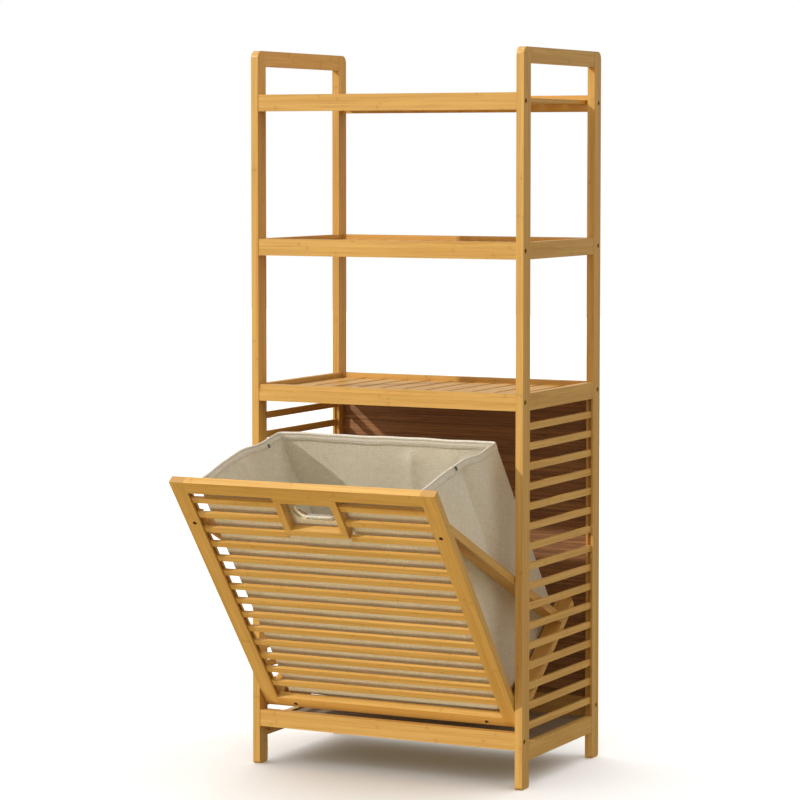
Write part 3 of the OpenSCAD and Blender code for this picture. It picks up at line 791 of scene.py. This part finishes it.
def make_seams(bag, material):
    """The bound seam allowance that stands inside each corner."""
    verts, faces, uvs = [], [], []
    n = len(SEAM_SECTION)
    for corner in corner_places(bag):
        first = len(verts)
        _, _, out_x, out_n = bag.plan(corner)
        bottom = bag.rim(corner) - bag.bottom - 9 * MM
        for i in range(SEAM_ROWS + 1):
            h = SEAM_TOP - 3 * MM + (bottom - SEAM_TOP) * i / SEAM_ROWS
            wander = 0.5 * MM * math.sin(h * 60 + corner * 9)
            for side, out in SEAM_SECTION:
                p = bag.wall(corner, h, out * MM - CLOTH_T / 2)
                p += Vector((-out_n, out_x, 0.0)) * (side * MM + wander * (-out / 3.4 if out < 0 else 0))
                verts.append(row(*p))
        for i in range(SEAM_ROWS):
            for k in range(n):
                m = (k + 1) % n
                a, b = first + i * n, first + (i + 1) * n
                faces.append([a + k, b + k, b + m, a + m])
                u0, u1 = k * SEAM_UV_STEP, (k + 1) * SEAM_UV_STEP
                v0, v1 = i * GRID, (i + 1) * GRID
                uvs += [(u0, v0), (u0, v1), (u1, v1), (u1, v0)]
        faces.append([first + k for k in range(n)])
        faces.append([first + SEAM_ROWS * n + k for k in reversed(range(n))])
        uvs += [(0.0, 0.0)] * (2 * n)
    return new_piece("bag_seams", verts, faces, material, uvs)


def make_tab(bag, material, name, s, sign, top):
    """A short end of folded ribbon sewn to the hem, sign 1 outside and -1 inside, top down from the rim."""
    _, _, out_x, out_n = bag.plan(s)
    verts, faces, uvs = [], [], []
    rows, columns = 9, 5
    for layer in (0.0, 0.9):
        for i in range(rows):
            drop = i / (rows - 1)
            for k in range(columns):
                side = k / (columns - 1) * 2 - 1
                round_off = layer * (1 - 0.25 * abs(side) ** 3)
                lift = 2.3 + round_off + 0.9 * drop ** 2 + 0.25 * math.sin(5 * drop)
                p = bag.wall(s + side * TAB_HALF_W, top + TAB_H * drop, sign * lift * MM)
                verts.append(row(*p))
    back = rows * columns

    def quad(a, b, c, d):
        faces.append([a, b, c, d])
        uvs.extend([((i % columns) * 1.4 * MM, (i // columns) * MM) for i in (a, b, c, d)])

    for i in range(rows - 1):
        for k in range(columns - 1):
            a = i * columns + k
            quad(a, a + 1, a + columns + 1, a + columns)
            quad(back + a, back + a + columns, back + a + columns + 1, back + a + 1)
        left, right = i * columns, (i + 1) * columns - 1
        for a, b in ((left + columns, left), (right, right + columns)):
            quad(a, b, back + b, back + a)
    for k in range(columns - 1):
        quad(k, back + k, back + k + 1, k + 1)
        a = (rows - 1) * columns + k
        quad(a, a + 1, back + a + 1, back + a)
    return new_piece(name, verts, faces, material, uvs)


def make_ring(bag, material, groove_shade):
    """The eyelet: pressed metal with two rolled edges, a groove between them coloured dark as painted shade, and a
    lining.
    """
    straight = bag.ring_half_w - bag.ring_half_h
    clear = bag.ring_half_h - RING_W
    path = []
    for end in (1, -1):
        for i in range(RING_TURN_STEPS + 1):
            angle = math.pi * i / RING_TURN_STEPS - math.pi / 2
            path.append((end * straight, end * math.cos(angle), end * math.sin(angle)))
    verts, faces = [], []
    n = len(RING_SECTION)
    for x, out_x, out_v in path:
        for out, deep in RING_SECTION:
            reach = clear + out * MM
            verts.append(row(x + out_x * reach, bag.ring_front + deep * MM, bag.hole.z + out_v * reach))
    for c in range(len(path)):
        d = (c + 1) % len(path)
        for k in range(n):
            m = (k + 1) % n
            faces.append([c * n + k, c * n + m, d * n + m, d * n + k])
    piece = new_piece("hand_ring", verts, faces, material)
    # the second material, dark metal on the groove's faces, is painted shade in the recess between the rolled
    # edges
    piece.data.materials.append(groove_shade)
    for i, face in enumerate(piece.data.polygons):
        face.material_index = 1 if i % n in RING_GROOVE else 0
    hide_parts("bag_hand_ring")
    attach(piece, "hamper")


def build_bag():
    """Every piece of the bag: the shell, and the hem, seams and tabs sewn to it."""
    bag = Bag()
    cloth = canvas("natural_canvas", rgb(1.0, 0.965, 0.85), rgb(0.84, 0.78, 0.63))
    hem_cloth = canvas("hem_canvas", rgb(1.0, 0.975, 0.89), rgb(0.87, 0.82, 0.70))
    ribbon = canvas("green_ribbon", rgb(0.05, 0.09, 0.05), rgb(0.03, 0.05, 0.03), WEAVE * 2, 0.0001)
    cotton = thread("cotton_thread", rgb(0.80, 0.74, 0.62))
    shell = make_bag(bag, cloth)
    hem = make_hem(bag, hem_cloth)
    seams = make_seams(bag, hem_cloth)
    stitching = make_stitching(bag, cotton)
    right = bag.width + bag.arc + bag.depth * 0.44
    left = bag.round - bag.arc - bag.depth * 0.84
    tab = make_tab(bag, ribbon, "bag_tab_right", right, 1, 1.5 * MM)
    inner_tab = make_tab(bag, ribbon, "bag_tab_left", left, -1, 9 * MM)
    nickel = metal("polished_nickel", rgb(0.84, 0.77, 0.61), rgb(0.62, 0.57, 0.45), 0.16, 1.0, 0.5)
    # dark metal for the eyelet's groove: painted shade
    groove_shade = metal("nickel_painted_groove_shade", rgb(0.10, 0.085, 0.06), rgb(0.05, 0.04, 0.03), 0.4, 0.8, 0.5)
    make_ring(bag, nickel, groove_shade)
    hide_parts("bag_front_panel", "bag_rear_panel", "bag_left_panel", "bag_right_panel",
                "bag_floor")
    extras = [hem, seams, stitching, tab, inner_tab]
    for piece in (shell, *extras):
        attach(piece, "hamper")


# ---------------------------------------------------------------- stage


def floor_material():
    """Pale and matt, faintly clouded."""
    s = Shader("pale_floor")
    place = s.node("TexCoord").outputs["Object"]
    cloud = s.noise(place, 1.5, 2.0)
    color = s.mix(s.smooth(cloud, 0.3, 0.7), rgb(0.90, 0.90, 0.895), rgb(0.92, 0.92, 0.915))
    return s.shade(color, 0.9)


def make_stage():
    """A plain square floor that reaches out of the camera's sight."""
    half = FLOOR_HALF
    corners = [(-half, -half, 0), (half, -half, 0), (half, half, 0), (-half, half, 0)]
    floor = new_piece("floor", corners, [(0, 1, 2, 3)], floor_material(), smooth=False)
    return floor


def lamp(name, strength, angle, azimuth, elevation, color, receivers):
    """A sun lamp angle degrees wide, which lights only the receivers."""
    data = bpy.data.lights.new(name, "SUN")
    data.energy = strength
    data.angle = math.radians(angle)
    data.color = color
    made = bpy.data.objects.new(name, data)
    bpy.context.scene.collection.objects.link(made)
    a, e = math.radians(azimuth), math.radians(elevation)
    travel = Vector((math.sin(a) * math.cos(e), math.cos(a) * math.cos(e), -math.sin(e)))
    made.rotation_euler = travel.to_track_quat("-Z", "Y").to_euler()
    group = bpy.data.collections.new(name + " receivers")
    for piece in receivers:
        group.objects.link(piece)
    made.light_linking.receiver_collection = group


def make_light(floor):
    """A low key on the rack, warm fill from below as off a floor, and a wide lamp over the real floor.

    The floor itself sends no light back and casts no shadow, so that the fill can come from below it.
    """
    rack = [o for o in bpy.context.scene.objects if o.type == "MESH" and o is not floor]
    cabinet = [frame["nodes"][name] for name in frame["record"]["behaviour"]["bodies"]["cabinet"]]
    hamper = [o for o in rack if o not in cabinet]
    lamp("key", 2.05, SUN_ANGLE, SUN_AZIMUTH, SUN_ELEVATION, (1.0, 0.93, 0.87), rack)
    lamp("cabinet fill", 0.36, FILL_ANGLE, FILL_AZIMUTH, FILL_ELEVATION, FILL_COLOR, cabinet)
    lamp("hamper fill", 0.95, FILL_ANGLE, FILL_AZIMUTH, FILL_ELEVATION, FILL_COLOR, hamper)
    lamp("overhead", 1.65, OVERHEAD_ANGLE, SUN_AZIMUTH, OVERHEAD_ELEVATION, (1.0, 1.0, 1.0), [floor])
    floor.visible_diffuse = False
    floor.visible_glossy = False
    floor.visible_shadow = False


def make_surround():
    """A world that is white behind the rack, and lights it warm from below and neutral from above."""
    world = bpy.data.worlds.new("surround")
    bpy.context.scene.world = world
    world.use_nodes = True
    tree = world.node_tree
    tree.nodes.clear()
    seen = tree.nodes.new("ShaderNodeLightPath").outputs["Is Camera Ray"]
    direction = tree.nodes.new("ShaderNodeTexCoord").outputs["Generated"]
    parts = tree.nodes.new("ShaderNodeSeparateXYZ")
    rise = tree.nodes.new("ShaderNodeMapRange")
    rise.inputs["From Min"].default_value = HORIZON
    color = tree.nodes.new("ShaderNodeMix")
    color.data_type = "RGBA"
    color.inputs[6].default_value = SURROUND_LOW
    color.inputs[7].default_value = SURROUND_HIGH
    lit, shown = (tree.nodes.new("ShaderNodeBackground") for _ in range(2))
    shown.inputs["Color"].default_value = rgb(1.0, 1.0, 1.0)
    choose = tree.nodes.new("ShaderNodeMixShader")
    output = tree.nodes.new("ShaderNodeOutputWorld")
    for source, target in (
            (direction, parts.inputs[0]), (parts.outputs["Z"], rise.inputs["Value"]),
            (rise.outputs[0], color.inputs[0]), (color.outputs[2], lit.inputs["Color"]),
            (seen, choose.inputs[0]), (lit.outputs[0], choose.inputs[1]),
            (shown.outputs[0], choose.inputs[2]), (choose.outputs[0], output.inputs["Surface"])):
        tree.links.new(source, target)


def make_camera():
    """The photograph's view, and colours shown as they are."""
    data = bpy.data.cameras.new("camera")
    data.lens = CAMERA_LENS
    data.sensor_width = 36.0
    data.shift_y = CAMERA_SHIFT_Y
    data.clip_end = 100.0
    made = bpy.data.objects.new("camera", data)
    made.location = CAMERA_AT
    made.rotation_euler = (math.pi / 2 - CAMERA_DOWN, 0.0, CAMERA_YAW)
    bpy.context.scene.collection.objects.link(made)
    bpy.context.scene.camera = made
    bpy.context.scene.view_settings.view_transform = "Standard"


dress_bamboo()
dress_other_nodes()
build_bag()
make_light(make_stage())
make_surround()
make_camera()
